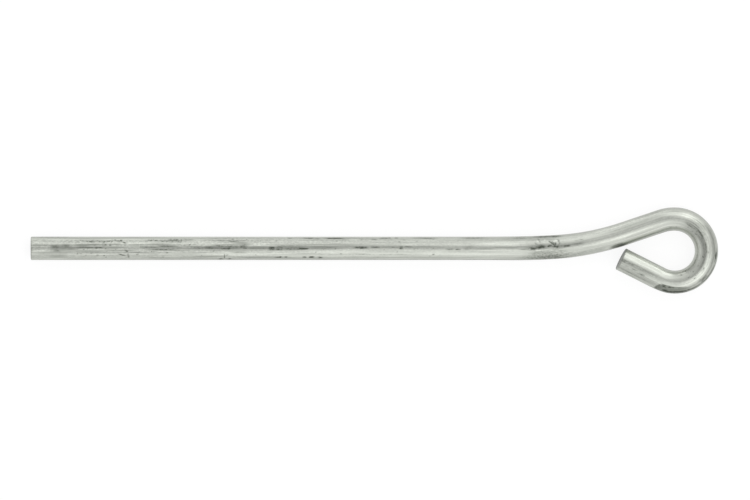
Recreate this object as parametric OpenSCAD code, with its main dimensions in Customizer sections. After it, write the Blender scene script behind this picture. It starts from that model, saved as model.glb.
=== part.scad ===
// Ceiling hanger rod: one round wire, cut at both ends and bent cold into an open eye.
// Millimetres, +Z up. The wire lies flat: the eye's centre is the origin and the wire's middle is z = 0.
// The shank runs towards -X and the crown of the eye points to +X.

/* [Wire] */
// Diameter of the round wire
wire_d = 4.0; // [3:0.1:5]
// Length over all, from the cut end of the shank to the crown of the eye
overall_l = 117.5; // [90:0.5:200]
// Rounding of the rim at both cut ends
rim_r = 0.15; // [0.05:0.05:0.5]

/* [Eye] */
// Clear diameter inside the eye
eye_d = 6.8; // [5:0.1:12]
// How far the eye's centre lies beside the line of the shank
eye_drop = 0.4; // [0:0.1:1.5]
// Slope of the tail that closes the eye
tail_angle = 26.8; // [15:0.1:40]
// Clear gap between the tip of the tail and the ramp
mouth_gap = 0.5; // [0.2:0.1:2]
// Radius of the wider bend that leads from the ramp into the eye, on the wire's centre line
shoulder_r = 7; // [4.5:0.1:9]
// Angle of that wider bend
shoulder_angle = 24; // [10:0.5:28]

/* [Neck] */
// Slope of the straight ramp between the neck and the eye
ramp_angle = 18.6; // [14:0.1:22]
// Radius of the main bend of the neck, on the wire's centre line
neck_r = 46.5; // [20:0.5:55]
// Radius of the gentle bend that leads from the shank into the neck
lead_r = 139; // [60:1:200]
// Angle of that gentle bend
lead_angle = 3.1; // [1:0.1:6]

/* [Hidden] */
// The nearest angle, within 0.05 degrees, whose sine and cosine are both decimals of six figures.
// With such angles each length of wire starts exactly where the one before it stops.
function even(a) =
  let (
    step = sin(a) < 0.09 ? 1e-7 : 1e-6,
    first = round(sin(a) / step),
    pairs = [for (k = [-600:600])
      let (s = (first + k) * step, c = round(sqrt(1 - s * s) * 1e6) / 1e6)
      [abs(c * c + s * s - 1), s, c]],
    least = min([for (p = pairs) p[0]]),
    best = [for (p = pairs) if (p[0] == least) p][0]
  )
  atan2(best[1], best[2]);

wire_r = wire_d / 2;
hole_r = eye_d / 2;
eye_r = hole_r + wire_r;

lead_a = even(lead_angle);
neck_a = even(ramp_angle - lead_angle);
shoulder_a = even(shoulder_angle);
crown_a = 180 + even(ramp_angle + tail_angle - shoulder_angle);
ramp_a = lead_a + neck_a;
mouth_a = shoulder_a + crown_a - 180;

// From the eye's centre to where the ramp meets the shoulder
shoulder_gain = shoulder_r - eye_r;
shoulder_x = shoulder_gain * sin(ramp_a - shoulder_a) - shoulder_r * sin(ramp_a);
shoulder_y = shoulder_r * cos(ramp_a) - shoulder_gain * cos(ramp_a - shoulder_a);

// Rise left for the straight ramp once both neck bends are taken
ramp_rise = shoulder_y - eye_drop - lead_r * (1 - cos(lead_a)) - neck_r * (cos(lead_a) - cos(ramp_a));
ramp_l = ramp_rise / sin(ramp_a);

// Length along X from the end of the shank to the eye's centre
neck_run = lead_r * sin(lead_a) + neck_r * (sin(ramp_a) - sin(lead_a))
  + ramp_l * cos(ramp_a) - shoulder_x;
shank_l = overall_l - eye_r - wire_r - neck_run;

// The tail stops where its inner corner is one mouth gap from the ramp
ramp_off = shoulder_r - shoulder_gain * cos(shoulder_a);
tail_l = (ramp_off - wire_r + hole_r * cos(mouth_a) - mouth_gap) / sin(mouth_a);

// Side of the blocks that trim a ring to an arc
trim = 4 * (lead_r + neck_r + shoulder_r + wire_d);

$fn = 96;

// Straight wire from x = 0 to x = l
module bar(l) {
  rotate([0, 90, 0]) cylinder(r = wire_r, h = l);
}

// Straight wire from a cut end with a rounded rim at x = 0 to a plain end at x = l
module cut_bar(l) {
  rotate([0, 90, 0]) rotate_extrude() {
    translate([0, rim_r]) square([wire_r, l - rim_r]);
    square([wire_r - rim_r, l]);
    translate([wire_r - rim_r, rim_r]) circle(r = rim_r);
  }
}

// Moves on past a bend of radius r; a is positive to the left and negative to the right
module past_bend(r, a) {
  c = a > 0 ? r : -r;
  translate([0, c, 0]) rotate([0, 0, a]) translate([0, -c, 0]) children();
}

// Everything behind x = 0, and everything ahead of it
module behind() {
  translate([-trim, -trim / 2, -trim / 2]) cube(trim);
}
module ahead() {
  translate([0, -trim / 2, -trim / 2]) cube(trim);
}

// Bent wire from x = 0: a full ring, trimmed square to the wire at both ends
module bend(r, a) {
  difference() {
    translate([0, a > 0 ? r : -r, 0]) rotate([0, 0, 180]) rotate_extrude() translate([r, 0]) circle(r = wire_r);
    if (abs(a) > 180) {
      intersection() {
        behind();
        past_bend(r, a) ahead();
      }
    } else {
      behind();
      past_bend(r, a) ahead();
    }
  }
}

// The wire in the order it is bent, each length starting where the last one stops
module hanger_rod() {
  color([0.72, 0.74, 0.72])
  translate([eye_r + wire_r - overall_l, eye_drop, 0]) {
    cut_bar(shank_l);
    translate([shank_l, 0, 0]) {
      bend(lead_r, lead_a);
      past_bend(lead_r, lead_a) {
        bend(neck_r, neck_a);
        past_bend(neck_r, neck_a) {
          bar(ramp_l);
          translate([ramp_l, 0, 0]) {
            bend(shoulder_r, -shoulder_a);
            past_bend(shoulder_r, -shoulder_a) {
              bend(eye_r, -crown_a);
              past_bend(eye_r, -crown_a)
              translate([tail_l, 0, 0]) mirror([1, 0, 0]) cut_bar(tail_l);
            }
          }
        }
      }
    }
  }
}

hanger_rod();
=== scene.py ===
"""Ceiling hanger rod: one zinc-coated wire with an open eye, lying flat on a pale floor."""

import math
from collections import namedtuple

import bpy
import numpy as np
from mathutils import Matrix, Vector


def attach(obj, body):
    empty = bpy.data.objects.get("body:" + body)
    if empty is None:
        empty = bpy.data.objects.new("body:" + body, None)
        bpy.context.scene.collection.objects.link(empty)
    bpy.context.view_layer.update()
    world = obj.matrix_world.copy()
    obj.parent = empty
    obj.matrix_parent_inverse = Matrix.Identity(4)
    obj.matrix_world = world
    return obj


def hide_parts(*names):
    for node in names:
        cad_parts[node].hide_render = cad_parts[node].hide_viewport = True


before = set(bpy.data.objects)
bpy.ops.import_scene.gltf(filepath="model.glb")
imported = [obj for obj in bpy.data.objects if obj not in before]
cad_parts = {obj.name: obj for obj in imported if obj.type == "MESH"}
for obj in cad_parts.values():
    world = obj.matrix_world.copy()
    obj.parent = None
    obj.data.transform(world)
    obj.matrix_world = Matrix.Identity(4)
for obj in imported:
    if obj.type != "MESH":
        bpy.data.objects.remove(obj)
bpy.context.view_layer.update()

MM = 0.001

# The wire's driving sizes, in millimetres and degrees, the same as the solid's
WIRE_D = 4.0
OVERALL_L = 117.5
RIM_R = 0.15
EYE_D = 6.8
EYE_DROP = 0.4
TAIL_ANGLE = 26.8
MOUTH_GAP = 0.5
SHOULDER_R = 7.0
SHOULDER_ANGLE = 24.0
RAMP_ANGLE = 18.6
NECK_R = 46.5
LEAD_R = 139.0
LEAD_ANGLE = 3.1

WIRE_R = WIRE_D / 2
EYE_R = EYE_D / 2 + WIRE_R

# The photograph's frame in pixels, and its camera straight above, in millimetres
PHOTO_W = 750
PHOTO_H = 500
PX_PER_MM = 5.849
EYE_PX = (674.87, 250.68)
CAMERA_HEIGHT = 2000.0
SENSOR_W = 36.0
CLIP_START = 10.0

# Mesh fineness: points round the wire, millimetres along it, rings on each cut face and round its rim
AROUND = 96
STEP = 0.15
CAP_RINGS = 22
CAP_INNERMOST = 0.02
RIM_RINGS = 8

# The neck was pressed a little wider while it was bent: share of the radius, and where along the wire
PRESS = 0.03
PRESS_FROM = 76.0
PRESS_TO = 98.0

# How far the shear left the cut of the tail off square, and how far back from the tip that tells
TAIL_SLANT = 4.5
TAIL_SLANT_FROM = 1.5
# Ridges that the shear left in both cut faces: their depth in millimetres, then for each set of waves its
# share, waves across, sway, and waves of that sway
CUT_RIDGE = 0.03
RIDGE_WAVES = [
    (0.3, 8.0, 1.0, 1.9),
    (0.2, 17.0, 2.0, 2.3),
]

# Zinc as it shines where it is clean, the dark colour of its smudges and of the painted shade, and the bare
# steel of the cut faces
ZINC = (0.493, 0.511, 0.466)
SMUDGE_AND_SHADE = (0.050, 0.060, 0.044)
CUT_STEEL = (0.122, 0.130, 0.116)
BURNISHED_STEEL = (0.288, 0.300, 0.275)

# A mark on the wire: millimetres from the free end, degrees round it from the top (positive on the left
# going towards the eye), half length and half width in millimetres, strength, and slant in degrees. The
# lists below were placed one by one, where the photograph shows such marks
Mark = namedtuple("Mark", "middle angle half_l half_w strength slant")

# Scuffs on the first third of the shank, from its free end on
FREE_END_MARKS = [
    (1.3, 16, 1.2, 0.12, 0.24, 0),
    (4.2, 6, 0.85, 0.45, 0.46, 0),
    (4.5, -10, 0.70, 0.30, 0.35, 0),
    (4.6, -38, 1.6, 0.50, 0.18, 0),
    (5.1, 3, 1.7, 0.60, 0.24, 0),
    (6.0, 11, 0.80, 0.36, 0.44, 0),
    (7.0, -2, 1.0, 0.25, 0.35, 0),
    (8.8, 16, 1.4, 0.14, 0.42, 0),
    (9.4, 4, 1.7, 0.14, 0.66, 0),
    (9.9, -13, 2.8, 0.11, 0.24, 0),
    (10.6, 19, 1.6, 0.12, 0.42, 0),
    (11.6, 4, 1.0, 0.14, 0.50, 0),
    (12.8, 17, 0.25, 0.14, 0.62, 20),
    (13.6, 17, 0.22, 0.14, 0.66, -20),
    (14.4, 5, 1.9, 0.13, 0.26, 0),
    (14.6, 20, 0.9, 0.10, 0.40, 0),
    (15.2, -10, 2.6, 0.11, 0.34, 0),
    (15.6, -34, 0.62, 0.11, 0.95, -16),
    (16.3, -12, 0.42, 0.10, 0.72, -32),
    (16.7, -40, 0.10, 0.46, 0.90, 8),
    (20.3, 6, 1.7, 0.13, 0.46, 0),
    (21.8, 20, 2.3, 0.16, 0.36, 0),
    (22.6, -6, 2.8, 0.12, 0.54, 0),
    (23.5, 9, 1.7, 0.14, 0.66, 0),
    (24.0, 42, 1.7, 0.22, 0.44, 0),
    (27.8, 10, 2.2, 0.09, 0.28, 0),
    (28.0, -3, 2.4, 0.10, 0.28, 0),
]
# Dark marks along the top of the shank
MIDDLE_MARKS = [
    (30.6, 4, 1.0, 0.36, 0.44, 0),
    (32.0, 13, 1.2, 0.10, 0.50, 0),
    (33.4, 3, 3.6, 0.34, 0.36, 0),
    (33.4, -2, 1.1, 0.17, 0.62, 0),
    (33.6, 14, 3.0, 0.24, 0.34, 0),
    (33.8, -2, 0.45, 0.14, 0.84, 0),
    (33.9, 9, 0.9, 0.25, 0.45, 0),
    (36.0, 29, 1.3, 0.22, 0.22, 0),
    (36.2, 19, 1.3, 0.18, 0.32, 0),
    (36.3, 8, 0.9, 0.30, 0.50, 0),
    (36.6, 0, 0.40, 0.10, 0.70, 0),
    (38.8, 2, 2.2, 0.25, 0.34, 0),
    (41.2, 0, 0.65, 0.32, 0.76, 0),
    (42.5, -3, 0.80, 0.22, 0.60, 0),
    (42.6, 4, 0.80, 0.30, 0.55, 0),
    (45.0, 0, 2.4, 0.30, 0.52, 0),
    (46.6, -2, 1.0, 0.14, 0.90, 0),
    (49.8, 3, 2.6, 0.32, 0.28, 0),
    (52.1, -1, 0.18, 0.12, 0.60, 0),
    (56.4, 4, 1.3, 0.17, 0.80, 0),
    (56.6, 3, 0.50, 0.16, 1.00, 0),
    (58.9, 5, 0.80, 0.13, 0.80, 0),
    (61.4, 5, 1.9, 0.09, 0.44, 0),
    (63.3, 3, 0.36, 0.26, 0.66, 0),
    (64.5, 7, 0.75, 0.13, 0.66, 0),
    (67.5, 7, 2.2, 0.08, 0.36, 0),
    (71.6, -5, 0.7, 0.10, 0.52, 0),
    (73.0, -5, 0.46, 0.09, 0.66, 0),
    (74.8, 3, 0.8, 0.30, 0.36, 14),
    (77.6, -3, 1.9, 0.10, 0.30, 0),
    (81.0, 3, 2.0, 0.09, 0.30, 0),
]
# Marks towards the left edge of the shank and neck
LEFT_EDGE_MARKS = [
    (3.5, 75, 3.4, 0.30, 0.30, 0),
    (26.8, 47, 1.1, 0.09, 0.46, 0),
    (32.3, 41, 0.4, 0.10, 0.46, 0),
    (34.5, 51, 0.2, 0.12, 0.42, 0),
    (34.7, 36, 0.9, 0.10, 0.44, 0),
    (44.3, 60, 0.4, 0.16, 0.44, 0),
    (47.5, 59, 1.0, 0.18, 0.50, 0),
    (49.0, 55, 0.5, 0.16, 0.42, 0),
    (52.0, 59, 1.7, 0.20, 0.74, 0),
    (58.7, 50, 0.5, 0.12, 0.48, 0),
    (60.4, 60, 0.7, 0.18, 0.46, 0),
    (61.3, 62, 0.2, 0.14, 0.50, 0),
    (62.5, 62, 0.30, 0.16, 0.52, 0),
    (67.4, 60, 2.1, 0.25, 0.40, 0),
    (75.8, 62, 2.2, 0.18, 0.62, 0),
    (83.6, 62, 1.4, 0.28, 0.44, 0),
    (85.6, 60, 4.6, 0.42, 0.24, 0),
    (88.3, 66, 2.6, 0.32, 0.60, 0),
    (89.8, 60, 1.2, 0.26, 0.56, 0),
]
# Marks towards the right edge of the shank, and a long painted shade low on its right flank
RIGHT_EDGE_MARKS = [
    (31.0, -43, 2.8, 0.09, 0.34, 0),
    (32.5, -64, 0.35, 0.20, 0.62, 0),
    (33.1, -42, 0.10, 0.50, 0.74, 0),
    (34.0, -64, 0.28, 0.20, 0.62, 0),
    # Painted shade low on the right flank: darker coat that stands in for the floor's shadow reflected
    # there
    (42.0, -78, 46.0, 0.34, 0.24, 0),
    (42.3, -50, 0.60, 0.16, 0.72, 0),
    (42.6, -49, 0.26, 0.17, 1.00, 0),
    (43.6, -48, 0.24, 0.16, 0.80, 0),
    (46.8, -49, 0.34, 0.15, 0.76, 0),
    (48.0, -48, 0.46, 0.19, 1.00, 0),
    (49.5, -53, 0.38, 0.18, 0.82, 14),
    (53.0, -28, 0.20, 0.12, 0.48, 0),
    (56.0, -31, 2.3, 0.08, 0.44, 0),
]
# Faint darker stretches of the coat, and painted shade low on the right flank
DULL_STRETCHES = [
    (3.2, -25, 2.6, 0.30, 0.14, 0),
    (10.5, 50, 3.0, 0.25, 0.16, 0),
    (16.0, 58, 14.0, 0.40, 0.13, 0),
    (18.3, 14, 1.5, 0.26, 0.18, 0),
    (23.0, 33, 3.0, 0.30, 0.16, 0),
    (25.0, 49, 3.6, 0.16, 0.18, 0),
    (26.5, -30, 3.0, 0.18, 0.14, 0),
    (35.6, -18, 1.3, 0.30, 0.20, 0),
    (44.3, 12, 2.8, 0.20, 0.34, 0),
    (50.0, 15, 9.0, 0.20, 0.22, 0),
    (50.0, -34, 8.0, 0.16, 0.16, 0),
    (60.0, 14, 4.0, 0.16, 0.20, 0),
    (61.5, -32, 5.5, 0.16, 0.24, 0),
    # Painted shade low on the right flank, for the floor's shadow reflected along the lower edge
    (78.0, -76, 8.0, 0.32, 0.26, 0),
    (91.4, -38, 1.2, 0.24, 0.30, 0),
    (92.8, -55, 2.2, 0.42, 0.22, 0),
    (94.5, -42, 5.0, 0.55, 0.14, 0),
    (94.5, 20, 4.0, 0.22, 0.10, 0),
    (101.8, 27, 3.0, 0.20, 0.16, 0),
    (104.5, 30, 4.5, 0.34, 0.14, 0),
    (106.0, -10, 4.0, 0.34, 0.10, 0),
    # Painted shade low on the right flank where the ramp turns into the eye, for the floor's shadow
    # reflected there
    (109.5, -74, 2.0, 0.30, 0.26, 0),
    (114.6, 25, 1.6, 0.36, 0.28, 0),
    (133.8, 4, 4.2, 0.26, 0.18, 0),
]
# Scuffs and scratches on the neck, such as a jaw leaves
NECK_MARKS = [
    (84.6, -5, 1.2, 0.10, 0.42, 0),
    (85.8, -3, 0.60, 0.20, 0.92, 0),
    (86.4, 20, 0.36, 0.12, 0.50, -32),
    (86.5, 0, 0.65, 0.18, 0.76, 6),
    (86.6, 2, 1.9, 0.42, 0.38, 4),
    (86.9, 37, 0.66, 0.11, 0.40, -67),
    (87.0, 10, 0.7, 0.20, 0.50, 10),
    (87.2, 3, 0.85, 0.26, 0.86, 6),
    (87.4, -55, 3.8, 0.50, 0.46, 0),
    (88.0, -30, 2.0, 0.14, 0.50, 0),
    (88.0, -58, 2.8, 0.18, 0.66, 0),
    (88.2, -45, 2.4, 0.14, 0.60, 0),
    (88.3, -42, 3.4, 1.00, 0.36, 0),
    (88.7, 8, 0.46, 0.18, 0.82, 8),
    (88.9, 23, 0.46, 0.11, 0.74, -45),
    (89.3, 21, 0.40, 0.08, 0.62, -52),
    (89.3, -66, 3.4, 0.30, 0.60, 0),
    (89.4, 2, 0.50, 0.10, 0.56, -10),
    (89.5, 8, 0.60, 0.12, 0.90, -42),
    (89.6, -38, 2.0, 0.12, 0.56, 3),
    (89.7, 14, 0.30, 0.11, 0.80, -77),
    (89.8, -9, 1.3, 0.28, 0.26, 0),
    (89.9, 0, 0.32, 0.19, 0.90, -20),
    (90.0, -50, 2.2, 0.14, 0.60, 3),
    (90.2, 10, 0.40, 0.09, 0.50, 30),
    (90.3, 26, 0.55, 0.11, 0.56, -68),
    (90.4, 3, 1.4, 0.12, 0.54, 2),
    (91.6, 1, 0.75, 0.17, 0.84, 4),
    (93.4, 5, 1.2, 0.20, 0.32, 4),
    (93.8, 21, 0.9, 0.10, 0.42, 2),
]
# Marks on the ramp, the eye and the tail
EYE_MARKS = [
    (101.0, -60, 1.4, 0.17, 0.16, 0),
    (103.4, -59, 1.8, 0.14, 0.18, 0),
    (106.6, -55, 3.2, 0.16, 0.20, 0),
    (110.4, -41, 1.4, 0.24, 0.26, 0),
    (114.0, -9, 1.3, 0.26, 0.46, 0),
    (114.3, 7, 1.4, 0.08, 0.46, 0),
    (116.0, -6, 1.4, 0.24, 0.62, 0),
    (117.0, 50, 1.5, 0.34, 0.24, 0),
    (117.4, -14, 2.6, 0.40, 0.20, 0),
    (118.6, -3, 1.7, 0.18, 0.46, 0),
    (118.7, 45, 1.8, 0.09, 0.40, 0),
    (119.9, 54, 0.65, 0.18, 1.00, 0),
    (119.9, 58, 1.0, 0.34, 0.46, 0),
    (121.2, -5, 1.6, 0.16, 0.40, 0),
    (122.6, 64, 2.6, 0.34, 0.44, 0),
    (123.4, 46, 0.6, 0.36, 0.46, 0),
    (123.9, 37, 0.35, 0.18, 0.34, 0),
    (125.1, -47, 0.10, 0.25, 0.45, 0),
    (125.4, 60, 1.3, 0.26, 0.74, 0),
    (126.4, -35, 0.25, 0.18, 0.40, 0),
    (126.9, 70, 1.3, 0.36, 0.72, -4),
    (127.6, 59, 2.0, 0.26, 0.98, 0),
    (127.9, 79, 1.6, 0.34, 0.68, 3),
    (128.2, 29, 0.90, 0.20, 0.76, 0),
    (128.5, 69, 1.2, 0.40, 0.80, 5),
    (129.0, 59, 0.60, 0.38, 0.98, 0),
    (129.4, 30, 0.55, 0.32, 0.80, 0),
    (130.0, 35, 0.24, 0.18, 0.84, 0),
    (132.6, 4, 2.6, 0.16, 0.30, 0),
    (133.4, -66, 2.6, 0.16, 0.30, 0),
    (133.6, 25, 0.7, 0.20, 0.42, 0),
    (134.2, -3, 3.4, 0.18, 0.26, 0),
    (134.5, 47, 3.0, 0.09, 0.56, 0),
    (135.0, 20, 0.60, 0.13, 0.56, 4),
    (135.6, 66, 1.8, 0.22, 0.24, 0),
    (136.4, 1, 1.6, 0.15, 0.44, -5),
    (136.4, 20, 0.4, 0.12, 0.36, 0),
    (136.4, -67, 1.6, 0.20, 0.32, 0),
    (137.3, 4, 0.40, 0.20, 0.52, 0),
]
# Bright places, partly where the coat is rubbed smooth and partly painted light: lighter coat that stands
# in for brighter reflections, as on the inner side of the eye and tail and the flanks where the neck meets
# the ramp
POLISHED_AND_PAINTED_LIGHT = [
    (1.2, 34, 0.25, 0.20, 0.60, 0),
    (1.6, -12, 1.2, 0.16, 0.70, 0),
    (2.0, 4, 1.8, 0.20, 0.40, 0),
    (5.0, 46, 2.8, 0.18, 0.36, 0),
    (8.0, -20, 1.0, 0.07, 0.60, 0),
    (8.4, 38, 0.30, 0.14, 0.60, 0),
    (10.4, -5, 2.0, 0.07, 0.80, 0),
    (15.0, -4, 1.5, 0.08, 0.70, 0),
    (18.6, 12, 0.07, 0.70, 0.50, 0),
    (23.5, -43, 3.0, 0.22, 0.60, 0),
    (25.0, -19, 5.0, 0.15, 0.62, 0),
    (25.0, -41, 5.0, 0.14, 0.45, 0),
    (26.9, 4, 1.2, 0.22, 0.60, 0),
    (29.6, 36, 2.8, 0.26, 0.55, 0),
    (32.0, -50, 2.6, 0.20, 0.50, 0),
    (37.4, 45, 0.07, 0.50, 0.50, 0),
    (38.0, -22, 1.0, 0.16, 0.30, 0),
    (39.4, 25, 1.6, 0.12, 0.60, 0),
    (50.0, -17, 8.0, 0.22, 0.42, 0),
    (50.0, 33, 9.0, 0.20, 0.34, 0),
    (54.6, -18, 2.4, 0.10, 0.50, 0),
    (55.1, 46, 1.6, 0.22, 0.90, 0),
    (56.0, 45, 15.0, 0.22, 0.42, 0),
    (74.0, -4, 20.0, 0.34, 0.40, 0),
    (78.0, -11, 2.2, 0.08, 0.80, 0),
    (80.5, 23, 4.6, 0.52, 0.36, 0),
    (83.6, -9, 1.6, 0.08, 0.70, 0),
    (86.7, 34, 0.30, 0.18, 0.90, 0),
    (86.7, -13, 0.50, 0.12, 0.90, 0),
    (87.9, 38, 0.22, 0.16, 0.80, 0),
    (89.1, -14, 0.45, 0.10, 0.60, 0),
    (89.8, 33, 0.35, 0.18, 0.90, 0),
    (91.6, 43, 2.2, 0.28, 0.60, 0),
    (94.0, 33, 3.6, 0.50, 0.40, 0),
    (97.5, 2, 4.0, 0.30, 0.60, 0),
    (99.3, -52, 1.5, 0.28, 1.20, 0),
    (100.6, 55, 5.4, 0.36, 0.60, 0),
    (103.5, 0, 5.0, 0.50, 0.45, 0),
    (110.2, 27, 1.4, 0.35, 0.30, 0),
    (111.0, 52, 2.2, 0.36, 0.30, 0),
    (111.5, 12, 1.5, 0.28, 0.42, 0),
    (117.0, 9, 2.0, 0.40, 0.32, 0),
    (123.3, -49, 0.8, 0.30, 0.45, 0),
    (128.6, -48, 2.6, 0.13, 0.70, 0),
    (129.6, -42, 1.9, 0.46, 0.92, 0),
    (130.4, 12, 2.8, 0.36, 0.90, 0),
    (133.4, -46, 4.6, 0.80, 0.45, 0),
    (133.4, -47, 4.6, 0.40, 1.20, 0),
    (134.0, 17, 4.0, 0.26, 0.32, 0),
    (134.6, -50, 3.4, 0.14, 1.90, 0),
    (136.4, -33, 1.8, 0.40, 0.60, 0),
]
# Dark patch pressed in under the eye: an oval with a darker border, which fades out towards the crown and,
# further round than PATCH_BELOW in degrees, towards the underside
PATCH = Mark(127.95, 72, 2.72, 1.78, 0.56, -8)
PATCH_POWER = 3
PATCH_BORDER = 0.17
PATCH_BORDER_FROM = 0.66
PATCH_FAINT = (124.5, 127.1)
PATCH_DEPTH = 0.07
PATCH_BELOW = (84, 120)
PATCH_GRAIN = 0.16
# Where a mark starts to fade and where it is gone, as shares of its half length, of its half width and, for
# the patch, of its oval
FADE_LENGTH = (0.3, 1.4)
FADE_WIDTH = (0.4, 1.5)
FADE_PATCH = (0.90, 1.04)
# Rows of short ticks, such as a jaw leaves: from, to, degrees round, count, half length and width, strength
TICK_ROWS = [
    (7.6, 10.4, 40, 7, 0.16, 0.09, 0.40),
    (9.8, 15.9, 37, 24, 0.20, 0.12, 0.90),
    (19.7, 21.6, 43, 8, 0.22, 0.11, 0.80),
    (22.2, 25.8, 42, 15, 0.22, 0.12, 0.90),
    (32.6, 36.0, 40, 9, 0.14, 0.08, 0.40),
]
# How the ticks of a row differ: millimetres along it, degrees round, shares of size and strength, slant
TICK_ALONG = (-0.12, 0.12)
TICK_ROUND = (-8.0, 8.0)
TICK_LENGTH = (0.5, 1.5)
TICK_WIDTH = (0.7, 1.3)
TICK_STRENGTH = (0.4, 1.0)
TICK_SLANT = (-50.0, 50.0)
TICK_SEED = 4
# Small dark specks strewn over the shank and the eye: how many, along which stretch, which degrees round
SPECK_FIELDS = [
    (90, (7.0, 70.0), (-50.0, 60.0)),
    (44, (112.5, 125.5), (-34.0, 12.0)),
]
SPECK_HALF_L = (0.06, 0.26)
SPECK_HALF_W = (0.05, 0.10)
SPECK_STRENGTH = (0.25, 0.70)
SPECK_SLANT = (-30.0, 30.0)
SPECK_SEED = 11
# Depth in millimetres that the ticks and the marks on the neck are pressed in
DENT = 0.03

# Noise in the coat: waves to the millimetre along the wire and both ways across it, and its detail
COAT_NOISE = {
    "broad": ((0.03, 1.3, 1.3), 2.0),
    "streak": ((0.08, 1.7, 1.7), 3.0),
    "lines": ((0.015, 5.5, 5.5), 1.0),
    "fine": ((0.3, 6.5, 6.5), 2.0),
    "frost": ((2.4, 4.5, 4.5), 3.0),
    "shear": ((0.0, 0.9, 8.0), 3.0),
}
# The part of a noise's range that counts, and how much lighter and darker than plain zinc it makes the coat
NOISE_SPAN = (0.3, 0.7)
FROST_SPAN = (0.35, 0.65)
BROAD_TONE = 0.08
STREAK_TONE = 0.17
FINE_TONE = 0.14
FROST_TONE = 0.17
# How much lighter the rubbed places and the painted light make the coat
POLISH_AND_LIGHT_TONE = 0.35
# Hairlines along the wire: which parts of the noise are dark and pale, and by how much
DARK_LINES = (0.52, 0.68)
DARK_LINE_TONE = -0.26
PALE_LINES = (0.32, 0.48)
PALE_LINE_TONE = 0.24
# The drawn texture fades along the wire to a lasting share, and is weaker at the free end
WORN_FADE = (35.0, 78.0)
WORN_LEFT = 0.55
FREE_END = (2.0, 12.0)
FREE_END_WORN = 0.5
# Frosting fades along the wire to a lasting share, and is weaker on the right flank and low down
FROST_FADE = (26.0, 75.0)
FROST_LEFT = 0.40
FROST_FLANK = (-0.8, -0.1)
FROST_LOW = (0.6, 1.4)
FROST_WEAK = 0.5
# How strongly noise breaks up the mid tones of the smudges and the painted shade, and the part of its range
# that counts
BROKEN = 1.6
BROKEN_SPAN = (0.75, 1.25)

# Painted shade on top of the wire: a dark strip that stands in for the reflection of the dim light
# overhead.
# Its edges in millimetres beside the top line and how far they wander, how high it lies, and where it fades
# out along the wire
STRIP_LOW = (-0.34, -0.16)
STRIP_HIGH = (0.20, 0.75)
STRIP_WANDER = 0.22
STRIP_UP = (0.0, 0.5)
STRIP_ENDS = (44.0, 60.0)
STRIP_SHADE = 0.15

# Bare steel showing at the rims of the cuts: from and to in millimetres from the end, and how strongly
RIM_GREY = (0.08, 0.30)
FREE_RIM_SHADE = 0.22
TAIL_RIM_SHADE = 0.40
# Cut faces: the radius inside which they start, and how their burnished steel lies towards the top
CUT_EDGE = (WIRE_R - 0.6 * RIM_R, WIRE_R - 1.1 * RIM_R)
BURNISHED_SPAN = (0.35, 0.65)
BURNISHED_UP = (-0.5, 0.9)
BURNISHED_MORE = 0.12

# Roughness of the coat at the free end and further on, what the tail, the hairlines, the smudges and the
# painted shade add to it, and the roughness of the cut faces
ROUGH_FADE = (6.0, 40.0)
ROUGH_FREE_END = 0.42
ROUGH_COAT = 0.32
ROUGH_TAIL_FADE = (126.0, 132.0)
ROUGH_TAIL = 0.06
ROUGH_LINES = 0.04
ROUGH_SMUDGE_AND_SHADE = 0.12
ROUGH_CUT = 0.5
# Depth of the hairlines in metres, and the share that the fine noise has in it
LINE_DEPTH = 8e-6
LINE_FINE = 0.4

# Light of the sky by the height it comes from, as the sine of its angle: low, middle and top
SKY_LOW = 0.6
SKY_MIDDLE = 0.75
SKY_TOP = 0.3
SKY_LOWER = (0.20, 0.70)
SKY_UPPER = (0.70, 0.93)
# Soft lights: azimuth and angle off the zenith in degrees, full and faded radius in degrees, radiance
SOFT_LIGHTS = {
    "left key": (60, 40, 10, 15, 1.0),
    "left fill": (70, 40, 15, 50, 0.5),
    "left low": (60, 80, 15, 25, 1.0),
    "left horizon": (105, 85, 5, 15, 1.7),
    "right key": (-40, 25, 10, 15, 1.5),
    "right fill": (-60, 40, 15, 50, 0.7),
    "right low": (-95, 80, 5, 25, 0.5),
    "free end": (180, 75, 15, 40, 0.3),
}

# The floor is paper whose own light makes it white while it keeps the wire's shadow
FLOOR_GLOW = 0.88
FLOOR_PAPER = 0.14
# Half the floor's side, in metres
FLOOR_HALF = 2.0


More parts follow.
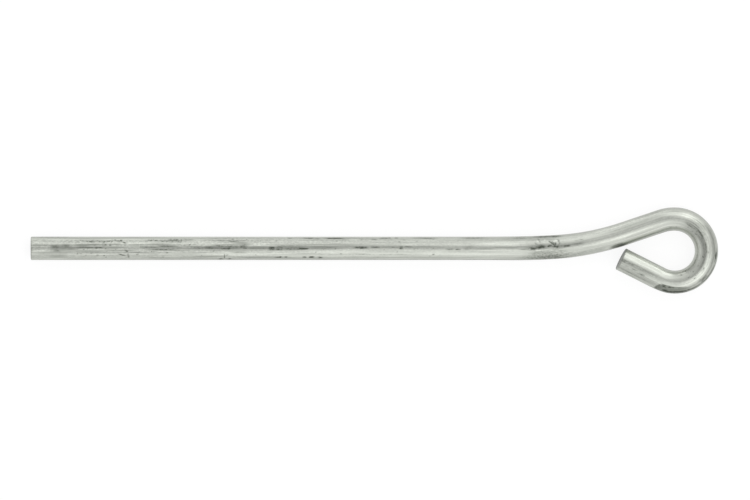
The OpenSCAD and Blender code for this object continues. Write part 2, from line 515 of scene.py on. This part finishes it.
class Sheet:
    """Short ways to add shader nodes to one node tree and to join them."""

    def __init__(self, tree):
        self.nodes = tree.nodes
        self.links = tree.links

    def add(self, kind, inputs, **settings):
        node = self.nodes.new(kind)
        for name, value in settings.items():
            setattr(node, name, value)
        for key, value in inputs.items():
            self.feed(value, node.inputs[key])
        return node

    def feed(self, value, socket):
        if isinstance(value, bpy.types.NodeSocket):
            self.links.new(value, socket)
        else:
            socket.default_value = value

    def math(self, operation, *values):
        return self.add("ShaderNodeMath", dict(enumerate(values)), operation=operation).outputs[0]

    def total(self, first, *others):
        for value in others:
            first = self.math("ADD", first, value)
        return first

    def product(self, first, *others):
        for value in others:
            first = self.math("MULTIPLY", first, value)
        return first

    def vector(self, operation, *values):
        return self.add("ShaderNodeVectorMath", dict(enumerate(values)), operation=operation)

    def remap(self, value, low, high, to_low=0.0, to_high=1.0, kind="LINEAR"):
        inputs = {"Value": value, "From Min": low, "From Max": high, "To Min": to_low, "To Max": to_high}
        return self.add("ShaderNodeMapRange", inputs, interpolation_type=kind).outputs["Result"]

    def swing(self, value, span, size):
        """From minus the size to plus the size while the value crosses the span."""
        return self.remap(value, *span, -size, size)

    def attribute(self, name, output="Fac"):
        return self.add("ShaderNodeAttribute", {}, attribute_name=name).outputs[output]

    def noise(self, place, scale, detail):
        stretched = self.vector("MULTIPLY", place, scale).outputs["Vector"]
        inputs = {"Vector": stretched, "Scale": 1.0, "Detail": detail}
        return self.add("ShaderNodeTexNoise", inputs).outputs["Fac"]

    def mix(self, factor, first, second):
        node = self.add("ShaderNodeMix", {}, data_type="RGBA")
        colours = [socket for socket in node.inputs if socket.type == "RGBA"]
        self.feed(factor, node.inputs["Factor"])
        self.feed(first, colours[0])
        self.feed(second, colours[1])
        return [socket for socket in node.outputs if socket.type == "RGBA"][0]


def wire_legs():
    """The wire from its free end on, as (length, signed bend radius or None) in the order it is bent."""
    ramp = math.radians(RAMP_ANGLE)
    lead = math.radians(LEAD_ANGLE)
    shoulder = math.radians(SHOULDER_ANGLE)
    mouth = math.radians(RAMP_ANGLE + TAIL_ANGLE)
    gain = SHOULDER_R - EYE_R
    shoulder_x = gain * math.sin(ramp - shoulder) - SHOULDER_R * math.sin(ramp)
    shoulder_y = SHOULDER_R * math.cos(ramp) - gain * math.cos(ramp - shoulder)
    rise = shoulder_y - EYE_DROP
    rise -= LEAD_R * (1 - math.cos(lead)) + NECK_R * (math.cos(lead) - math.cos(ramp))
    ramp_l = rise / math.sin(ramp)
    run = LEAD_R * math.sin(lead) + NECK_R * (math.sin(ramp) - math.sin(lead))
    run += ramp_l * math.cos(ramp) - shoulder_x
    shank_l = OVERALL_L - EYE_R - WIRE_R - run
    ramp_off = SHOULDER_R - gain * math.cos(shoulder)
    tail_l = (ramp_off - WIRE_R + EYE_D / 2 * math.cos(mouth) - MOUTH_GAP) / math.sin(mouth)
    return [
        (shank_l, None),
        (LEAD_R * lead, LEAD_R),
        (NECK_R * (ramp - lead), NECK_R),
        (ramp_l, None),
        (SHOULDER_R * shoulder, -SHOULDER_R),
        (EYE_R * (math.pi + mouth - shoulder), -EYE_R),
        (tail_l, None),
    ]


LEGS = wire_legs()
WIRE_L = sum(length for length, _ in LEGS)


def centre_line(s):
    """Place and heading of the wire's middle at each distance s from the free end, in millimetres."""
    x, y, heading, start = EYE_R + WIRE_R - OVERALL_L, EYE_DROP, 0.0, 0.0
    place = np.zeros((len(s), 2))
    turn = np.zeros(len(s))
    for length, radius in LEGS:
        here = s >= start
        d = s[here] - start
        if radius is None:
            place[here, 0] = x + d * math.cos(heading)
            place[here, 1] = y + d * math.sin(heading)
            turn[here] = heading
            x += length * math.cos(heading)
            y += length * math.sin(heading)
        else:
            h = heading + d / radius
            place[here, 0] = x + radius * (np.sin(h) - math.sin(heading))
            place[here, 1] = y - radius * (np.cos(h) - math.cos(heading))
            turn[here] = h
            after = heading + length / radius
            x += radius * (math.sin(after) - math.sin(heading))
            y -= radius * (math.cos(after) - math.cos(heading))
            heading = after
        start += length
    return place, turn


def stations():
    """Distance along the wire and radius of each ring, from the middle of one cut face to the other's."""
    cap = np.linspace(CAP_INNERMOST, 1, CAP_RINGS) * (WIRE_R - RIM_R)
    round_a = np.linspace(0, math.pi / 2, RIM_RINGS + 1)[1:]
    rim_s = RIM_R * (1 - np.cos(round_a))
    rim_r = WIRE_R - RIM_R + RIM_R * np.sin(round_a)
    body = np.linspace(RIM_R, WIRE_L - RIM_R, int(WIRE_L / STEP))[1:-1]
    s = np.concatenate([np.zeros(CAP_RINGS), rim_s, body, WIRE_L - rim_s[::-1], np.full(CAP_RINGS, WIRE_L)])
    r = np.concatenate([cap, rim_r, np.full(len(body), WIRE_R), rim_r[::-1], cap[::-1]])
    return s, r


def ease(t):
    """A soft step from 0 to 1."""
    t = np.clip(t, 0, 1)
    return t * t * (3 - 2 * t)


def press(s):
    """Share by which the neck is wider across and lower in height."""
    t = np.clip((s - PRESS_FROM) / (PRESS_TO - PRESS_FROM), 0, 1)
    return PRESS * np.sin(math.pi * t) ** 2


def tail_slant(s):
    """Slope of the cross-sections near the tip of the tail, up to that of its slanted cut."""
    return math.tan(math.radians(TAIL_SLANT)) * ease((s - WIRE_L + TAIL_SLANT_FROM) / TAIL_SLANT_FROM)


def cut_ridges(s, up, side):
    """How far the shear's ridges lie behind each cut face, along the wire and away from the rim."""
    inside = np.clip(1 - (up * up + side * side) / (WIRE_R - RIM_R) ** 2, 0, 1)
    ridges = np.zeros(side.shape)
    for share, waves, sway, sway_waves in RIDGE_WAVES:
        ridges += share * (1 + np.sin(waves * side + sway * np.sin(sway_waves * up)))
    inward = np.where(s <= 0, 1.0, 0.0) - np.where(s >= WIRE_L, 1.0, 0.0)
    return CUT_RIDGE * ridges * inside * inward


def wire_faces(rings):
    """Quads from each ring to the next, and one face that closes each end."""
    ring, k = np.meshgrid(np.arange(rings - 1), np.arange(AROUND), indexing="ij")
    here = ring * AROUND
    there = here + AROUND
    after = (k + 1) % AROUND
    quads = np.stack([here + k, here + after, there + after, there + k], 2).reshape(-1, 4)
    first = np.arange(AROUND)[::-1]
    last = np.arange(AROUND) + (rings - 1) * AROUND
    return quads.tolist() + [first.tolist(), last.tolist()]


def build_wire():
    """The bent wire as one closed mesh, which keeps its unbent place and its marks at each point."""
    s, r = stations()
    place, turn = centre_line(s)
    s, r, turn = s[:, None], r[:, None], turn[:, None]
    theta = np.linspace(-math.pi, math.pi, AROUND, endpoint=False)
    scorched, pressed = patch_at(s, theta)
    dented = marks_at(ticks() + NECK_MARKS, s, theta)
    radius = r - (DENT * dented + pressed) * (r / WIRE_R)
    side = radius * np.sin(theta)
    up = radius * np.cos(theta)
    wide = side * (1 + press(s))
    on = -up * tail_slant(s) + cut_ridges(s, up, side)
    x = place[:, :1] - np.sin(turn) * wide + np.cos(turn) * on
    y = place[:, 1:] + np.cos(turn) * wide + np.sin(turn) * on
    z = up * (1 - press(s))
    points = np.stack([x, y, z], 2).reshape(-1, 3) * MM
    mesh = bpy.data.meshes.new("hanger_wire")
    mesh.from_pydata(points.tolist(), [], wire_faces(len(s)))
    mesh.update()
    mesh.polygons.foreach_set("use_smooth", np.ones(len(mesh.polygons), dtype=bool))
    unbent = np.stack(np.broadcast_arrays(s, r * np.cos(theta), r * np.sin(theta)), 2)
    mesh.attributes.new("unbent", "FLOAT_VECTOR", "POINT").data.foreach_set("vector", unbent.ravel())
    smudged_and_shaded = marks_at(smudges_and_painted_shade(), s, theta)
    polished_and_lit = marks_at(POLISHED_AND_PAINTED_LIGHT, s, theta)
    for name, values in (("smudged_and_shaded", smudged_and_shaded), ("scorched", scorched), ("polished_and_lit", polished_and_lit)):
        mesh.attributes.new(name, "FLOAT", "POINT").data.foreach_set("value", values.ravel())
    wire = bpy.data.objects.new("hanger_wire", mesh)
    bpy.context.scene.collection.objects.link(wire)
    return wire


def ticks():
    """Short marks scattered along each row, some of them faint."""
    random = np.random.default_rng(TICK_SEED)
    marks = []
    for first, last, angle, count, half_l, half_w, strength in TICK_ROWS:
        for s in np.linspace(first, last, count):
            place = s + random.uniform(*TICK_ALONG), angle + random.uniform(*TICK_ROUND)
            size = half_l * random.uniform(*TICK_LENGTH), half_w * random.uniform(*TICK_WIDTH)
            look = strength * random.uniform(*TICK_STRENGTH), random.uniform(*TICK_SLANT)
            marks.append(place + size + look)
    return marks


def specks():
    """Small marks strewn at random over each field."""
    random = np.random.default_rng(SPECK_SEED)
    marks = []
    for count, stretch, spread in SPECK_FIELDS:
        ranges = stretch, spread, SPECK_HALF_L, SPECK_HALF_W, SPECK_STRENGTH, SPECK_SLANT
        marks += [tuple(random.uniform(*span) for span in ranges) for _ in range(count)]
    return marks


def smudges_and_painted_shade():
    """All marks that darken the coat, painted shade among them."""
    by_hand = (FREE_END_MARKS + MIDDLE_MARKS + LEFT_EDGE_MARKS + RIGHT_EDGE_MARKS + DULL_STRETCHES
               + NECK_MARKS + EYE_MARKS)
    return by_hand + ticks() + specks()


def fade(distance, edges):
    """From 1 at the first edge to 0 at the second."""
    return ease((edges[1] - distance) / (edges[1] - edges[0]))


def from_mark(mark, s, theta):
    """Distance from a mark's middle, along and beside it, as shares of its half length and half width."""
    lean = math.radians(mark.slant)
    on = s - mark.middle
    across = WIRE_R * (np.mod(theta - math.radians(mark.angle) + math.pi, 2 * math.pi) - math.pi)
    along = np.abs(on * math.cos(lean) + across * math.sin(lean)) / mark.half_l
    beside = np.abs(across * math.cos(lean) - on * math.sin(lean)) / mark.half_w
    return along, beside


def marks_at(marks, s, theta):
    """Strongest of the given marks at each place on the wire."""
    strongest = np.zeros(np.broadcast(s, theta).shape)
    for mark in map(Mark._make, marks):
        along, beside = from_mark(mark, s, theta)
        strength = mark.strength * fade(along, FADE_LENGTH) * fade(beside, FADE_WIDTH)
        strongest = np.maximum(strongest, strength)
    return strongest


def patch_at(s, theta):
    """How dark the patch under the eye is, and how far it is pressed in, at each place on the wire."""
    along, beside = from_mark(PATCH, s, theta)
    reach = (along ** PATCH_POWER + beside ** PATCH_POWER) ** (1 / PATCH_POWER)
    border = np.clip((reach - PATCH_BORDER_FROM) / (1 - PATCH_BORDER_FROM), 0, 1)
    faint = np.clip((s - PATCH_FAINT[0]) / (PATCH_FAINT[1] - PATCH_FAINT[0]), 0, 1)
    clear = fade(reach, FADE_PATCH) * faint * fade(np.degrees(theta), PATCH_BELOW)
    return (PATCH.strength + PATCH_BORDER * border) * clear, PATCH_DEPTH * clear


def smudge_and_painted_shade(sheet, noise):
    """How dark the smudges and painted shade are: noise breaks up their mid tones, the patch's a little."""
    marked = sheet.attribute("smudged_and_shaded")
    broken = sheet.swing(sheet.total(noise["fine"], noise["frost"]), BROKEN_SPAN, BROKEN)
    mid_tone = sheet.product(marked, sheet.math("SUBTRACT", 1.0, marked))
    smudge_and_shade = sheet.math("MULTIPLY_ADD", mid_tone, broken, marked)
    smudge_and_shade = sheet.math("MAXIMUM", sheet.math("MINIMUM", smudge_and_shade, 1.0), 0.0)
    patch = sheet.product(sheet.attribute("scorched"), sheet.math("MULTIPLY_ADD", broken, PATCH_GRAIN, 1.0))
    return sheet.math("MAXIMUM", smudge_and_shade, patch)


def painted_reflection_strip(sheet, noise, along, up, side):
    """How dark the painted shade along the top of the wire is: a dark reflection painted into the colour.
    """
    beside = sheet.total(side, sheet.swing(noise["streak"], NOISE_SPAN, STRIP_WANDER))
    return sheet.product(
        sheet.remap(beside, *STRIP_LOW, 0.0, 1.0, "SMOOTHSTEP"),
        sheet.remap(beside, *STRIP_HIGH, 1.0, 0.0, "SMOOTHSTEP"),
        sheet.remap(up, *STRIP_UP),
        sheet.remap(along, *STRIP_ENDS, STRIP_SHADE, 0.0),
    )


def coat_tone(sheet, noise, along, up, side):
    """How much lighter or darker than plain zinc the coat is."""
    drawn = sheet.total(
        sheet.swing(noise["broad"], NOISE_SPAN, BROAD_TONE),
        sheet.swing(noise["streak"], NOISE_SPAN, STREAK_TONE),
        sheet.remap(noise["lines"], *DARK_LINES, 0.0, DARK_LINE_TONE),
        sheet.remap(noise["lines"], *PALE_LINES, PALE_LINE_TONE, 0.0),
        sheet.swing(noise["fine"], NOISE_SPAN, FINE_TONE),
    )
    worn = sheet.product(
        sheet.remap(along, *WORN_FADE, 1.0, WORN_LEFT),
        sheet.remap(along, *FREE_END, FREE_END_WORN, 1.0),
    )
    frosted = sheet.product(
        sheet.remap(along, *FROST_FADE, 1.0, FROST_LEFT),
        sheet.remap(side, *FROST_FLANK, FROST_WEAK, 1.0),
        sheet.remap(up, *FROST_LOW, FROST_WEAK, 1.0),
        sheet.swing(noise["frost"], FROST_SPAN, FROST_TONE),
    )
    tone = sheet.total(sheet.product(drawn, worn), frosted)
    # Painted shade: a dark strip along the top stands in for a reflection of the dim light overhead
    tone = sheet.math("SUBTRACT", tone, painted_reflection_strip(sheet, noise, along, up, side))
    # Rubbed places and painted light make the coat lighter
    return sheet.total(tone, sheet.product(sheet.attribute("polished_and_lit"), POLISH_AND_LIGHT_TONE))


def rim_shade(sheet, along):
    """How strongly bare steel shows at the rims of both cuts."""
    free_rim = sheet.remap(along, RIM_GREY[0], RIM_GREY[1], FREE_RIM_SHADE, 0.0)
    tail_rim = sheet.remap(along, WIRE_L - RIM_GREY[1], WIRE_L - RIM_GREY[0], 0.0, TAIL_RIM_SHADE)
    return sheet.math("MAXIMUM", free_rim, tail_rim)


def cut_face(sheet, noise, unbent, up):
    """Where the cut faces are, and the colour of their sheared steel."""
    across = sheet.vector("MULTIPLY", unbent, (0.0, 1.0, 1.0)).outputs["Vector"]
    radius = sheet.vector("LENGTH", across).outputs["Value"]
    cut = sheet.remap(radius, *CUT_EDGE, 0.0, 1.0, "SMOOTHSTEP")
    burnished = sheet.total(noise["shear"], sheet.swing(up, BURNISHED_UP, BURNISHED_MORE))
    burnished = sheet.remap(burnished, *BURNISHED_SPAN)
    return cut, sheet.mix(burnished, (*CUT_STEEL, 1.0), (*BURNISHED_STEEL, 1.0))


def roughness(sheet, noise, along, smudge_and_shade, cut):
    """Roughness of the coat, its smudges and painted shade, and of the cut faces."""
    rough = sheet.total(
        sheet.remap(along, *ROUGH_FADE, ROUGH_FREE_END, ROUGH_COAT),
        sheet.remap(along, *ROUGH_TAIL_FADE, 0.0, ROUGH_TAIL),
        sheet.swing(noise["lines"], NOISE_SPAN, ROUGH_LINES),
        sheet.product(smudge_and_shade, ROUGH_SMUDGE_AND_SHADE),
    )
    return sheet.math("MAXIMUM", rough, sheet.product(cut, ROUGH_CUT))


def zinc_material():
    """Drawn zinc coat with its marks, painted shade and painted light, and bare steel on the cut faces."""
    mat = bpy.data.materials.new("zinc_wire")
    mat.use_nodes = True
    shader = mat.node_tree.nodes["Principled BSDF"]
    shader.inputs["Metallic"].default_value = 1.0
    sheet = Sheet(mat.node_tree)
    unbent = sheet.attribute("unbent", "Vector")
    along, up, side = sheet.add("ShaderNodeSeparateXYZ", {"Vector": unbent}).outputs
    noise = {name: sheet.noise(unbent, *setting) for name, setting in COAT_NOISE.items()}

    clean = sheet.vector("SCALE", ZINC)
    sheet.feed(sheet.total(coat_tone(sheet, noise, along, up, side), 1.0), clean.inputs["Scale"])
    smudge_and_shade = smudge_and_painted_shade(sheet, noise)
    colour = sheet.mix(smudge_and_shade, clean.outputs["Vector"], (*SMUDGE_AND_SHADE, 1.0))
    colour = sheet.mix(rim_shade(sheet, along), colour, (*CUT_STEEL, 1.0))
    cut, steel = cut_face(sheet, noise, unbent, up)
    sheet.feed(sheet.mix(cut, colour, steel), shader.inputs["Base Color"])
    sheet.feed(roughness(sheet, noise, along, smudge_and_shade, cut), shader.inputs["Roughness"])

    height = sheet.total(noise["lines"], sheet.product(noise["fine"], LINE_FINE))
    bump = sheet.add("ShaderNodeBump", {"Height": height, "Distance": LINE_DEPTH, "Strength": 1.0})
    sheet.feed(bump.outputs["Normal"], shader.inputs["Normal"])
    return mat


def floor_material():
    """Pale paper: part of its light is its own, so that it reads as white and still keeps a soft shadow."""
    mat = bpy.data.materials.new("paper")
    mat.use_nodes = True
    mat.node_tree.nodes.clear()
    sheet = Sheet(mat.node_tree)
    path = sheet.add("ShaderNodeLightPath", {}).outputs
    seen = sheet.math("MAXIMUM", path["Is Camera Ray"], path["Is Glossy Ray"])
    seen = sheet.math("MAXIMUM", seen, path["Is Transmission Ray"])
    glow = sheet.add("ShaderNodeEmission", {"Strength": sheet.product(seen, FLOOR_GLOW)})
    paper = sheet.add("ShaderNodeBsdfDiffuse", {"Color": (FLOOR_PAPER, FLOOR_PAPER, FLOOR_PAPER, 1)})
    both = sheet.add("ShaderNodeAddShader", {0: paper.outputs[0], 1: glow.outputs[0]})
    sheet.add("ShaderNodeOutputMaterial", {"Surface": both.outputs[0]})
    return mat


def build_floor():
    """A wide floor that touches the wire from below, and is no piece of the part."""
    z = -WIRE_R * MM
    corners = [(-1, -1), (1, -1), (1, 1), (-1, 1)]
    mesh = bpy.data.meshes.new("floor")
    mesh.from_pydata([(FLOOR_HALF * x, FLOOR_HALF * y, z) for x, y in corners], [], [(0, 1, 2, 3)])
    mesh.materials.append(floor_material())
    floor = bpy.data.objects.new("floor", mesh)
    bpy.context.scene.collection.objects.link(floor)


def build_light():
    """A plain room, dimmest overhead, and a few soft lights, all given by their direction."""
    world = bpy.data.worlds.new("studio")
    bpy.context.scene.world = world
    world.use_nodes = True
    sheet = Sheet(world.node_tree)
    toward = sheet.add("ShaderNodeTexCoord", {}).outputs["Generated"]
    height = sheet.add("ShaderNodeSeparateXYZ", {"Vector": toward}).outputs["Z"]
    light = sheet.total(
        sheet.remap(height, *SKY_UPPER, SKY_MIDDLE, SKY_TOP),
        sheet.remap(height, *SKY_LOWER, SKY_LOW - SKY_MIDDLE, 0.0),
    )
    for azimuth, zenith, full, faded, radiance in SOFT_LIGHTS.values():
        az, ze = math.radians(azimuth), math.radians(zenith)
        middle = (math.sin(ze) * math.cos(az), math.sin(ze) * math.sin(az), math.cos(ze))
        near = sheet.vector("DOT_PRODUCT", toward, middle).outputs["Value"]
        edges = math.cos(math.radians(faded)), math.cos(math.radians(full))
        light = sheet.total(light, sheet.remap(near, *edges, 0.0, radiance, "SMOOTHSTEP"))
    background = world.node_tree.nodes["Background"]
    background.inputs["Color"].default_value = (1, 1, 1, 1)
    sheet.feed(light, background.inputs["Strength"])


def build_camera():
    """A far camera straight above, so placed that the eye falls on its own pixel of the photograph."""
    data = bpy.data.cameras.new("camera")
    data.sensor_fit = "HORIZONTAL"
    data.sensor_width = SENSOR_W
    data.lens = SENSOR_W * CAMERA_HEIGHT * PX_PER_MM / PHOTO_W
    data.clip_start = CLIP_START * MM
    camera = bpy.data.objects.new("camera", data)
    x = (PHOTO_W / 2 - EYE_PX[0]) / PX_PER_MM
    y = (EYE_PX[1] - PHOTO_H / 2) / PX_PER_MM
    camera.location = Vector((x, y, CAMERA_HEIGHT)) * MM
    bpy.context.scene.collection.objects.link(camera)
    bpy.context.scene.camera = camera


wire = build_wire()
wire.data.materials.append(zinc_material())
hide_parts("hanger_rod")
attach(wire, "root")
build_floor()
build_light()
build_camera()
bpy.context.scene.view_settings.view_transform = "Standard"
